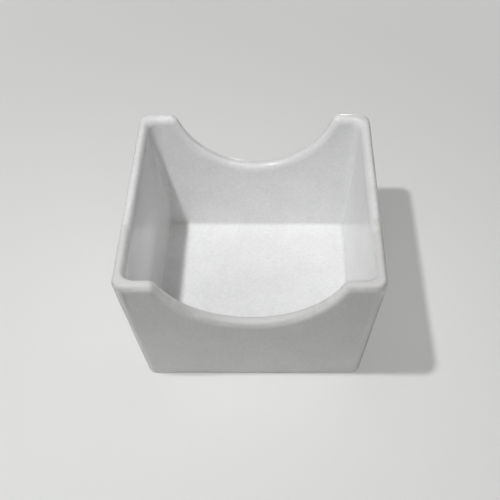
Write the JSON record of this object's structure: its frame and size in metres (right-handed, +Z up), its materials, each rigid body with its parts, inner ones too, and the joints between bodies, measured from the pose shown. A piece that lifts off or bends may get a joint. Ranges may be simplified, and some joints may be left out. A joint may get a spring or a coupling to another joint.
{
  "type": "sugar packet holder",
  "caption": "Square open-top table tray with walls that taper to a flat base and a round finger scoop in the front and back walls, for sugar packets stood on edge.",
  "frame": {"origin": "middle of the underside, on the surface that the holder stands on", "axes": "+Z up, from the base to the rim; -Y towards the front scoop and +Y towards the back scoop; +X to the right, towards a full-height side wall"},
  "size_m": [0.082, 0.082, 0.0508],
  "materials": {
    "white_melamine": "gloss moulded"
  },
  "bodies": {
    "root": {"holder_body": "white_melamine"}
  },
  "joints": []
}
